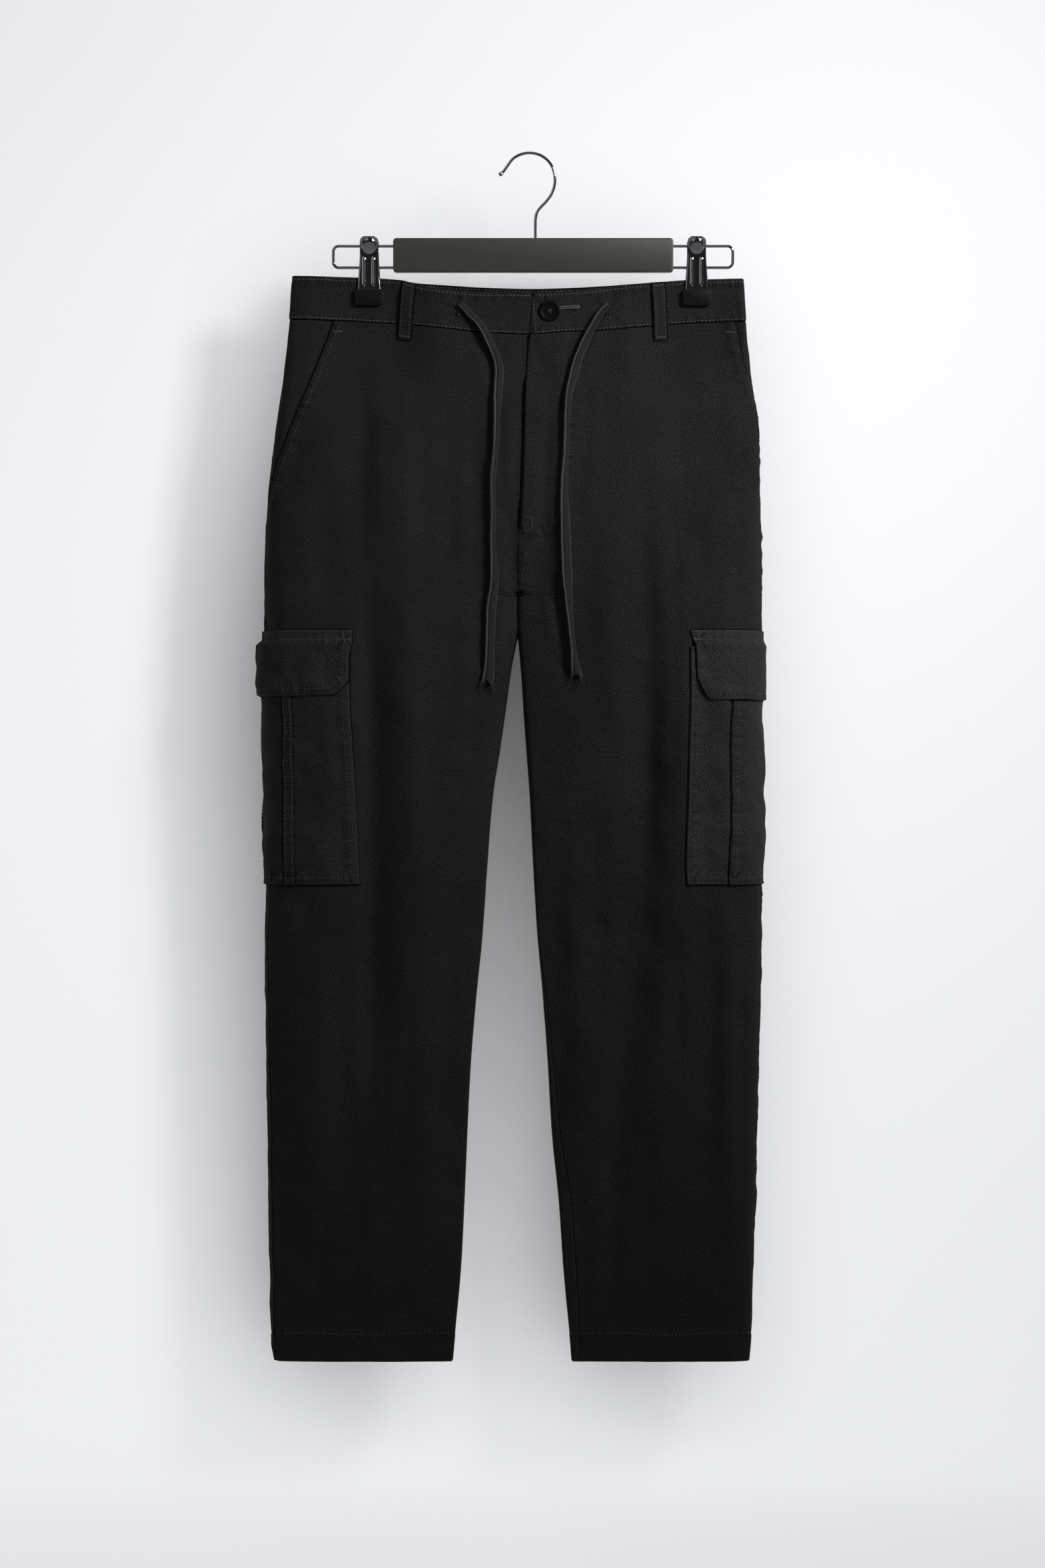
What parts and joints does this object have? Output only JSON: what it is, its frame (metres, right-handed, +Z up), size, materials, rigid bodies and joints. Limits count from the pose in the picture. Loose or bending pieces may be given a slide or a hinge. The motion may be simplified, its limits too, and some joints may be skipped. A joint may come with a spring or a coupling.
{
  "type": "cargo pants on a clip hanger",
  "caption": "Black cotton twill cargo trousers with drawcords, slant and flap pockets, hung by the waistband from a hanger with sliding clips.",
  "frame": {"origin": "inner crest of the hanger's hook, where a rail would carry it", "axes": "+Z up, -Y the garment's front, +X the wearer's left (the viewer's right)"},
  "size_m": [0.4755, 0.096, 1.1331],
  "materials": {
    "twill": "matt woven cotton twill, black, with a faint nap",
    "tape": "folded flat cotton tape, black, stitched along its edges",
    "button": "satin cast resin, black",
    "bar": "satin moulded, dark olive grey",
    "chrome": "polished nickel-chrome plate on steel wire and sheet",
    "rubber": "dark moulded rubber, satin"
  },
  "bodies": {
    "root": {"waistband_right": "twill", "waistband_left": "twill", "front_right": "twill", "front_left": "twill", "back_right": "twill", "back_left": "twill", "pocket_facing_right": "twill", "pocket_facing_left": "twill", "cargo_pocket_right": "twill", "cargo_pocket_left": "twill", "cargo_flap_right": "twill", "cargo_flap_left": "twill", "belt_loop_front_right": "twill", "belt_loop_front_left": "twill", "belt_loop_back_right": "twill", "belt_loop_back_left": "twill", "belt_loop_centre_back": "twill", "drawcord_right": "tape", "drawcord_left": "tape", "button": "button", "hanger_bar": "bar", "hanger_hook": "chrome", "hanger_wire_right": "chrome", "hanger_wire_left": "chrome", "clip_core_right": "chrome", "clip_core_left": "chrome", "clip_plate_front_right": "chrome", "clip_plate_back_right": "chrome", "clip_plate_front_left": "chrome", "clip_plate_back_left": "chrome", "clip_pad_front_right": "rubber", "clip_pad_back_right": "rubber", "clip_pad_front_left": "rubber", "clip_pad_back_left": "rubber"}
  },
  "joints": []
}
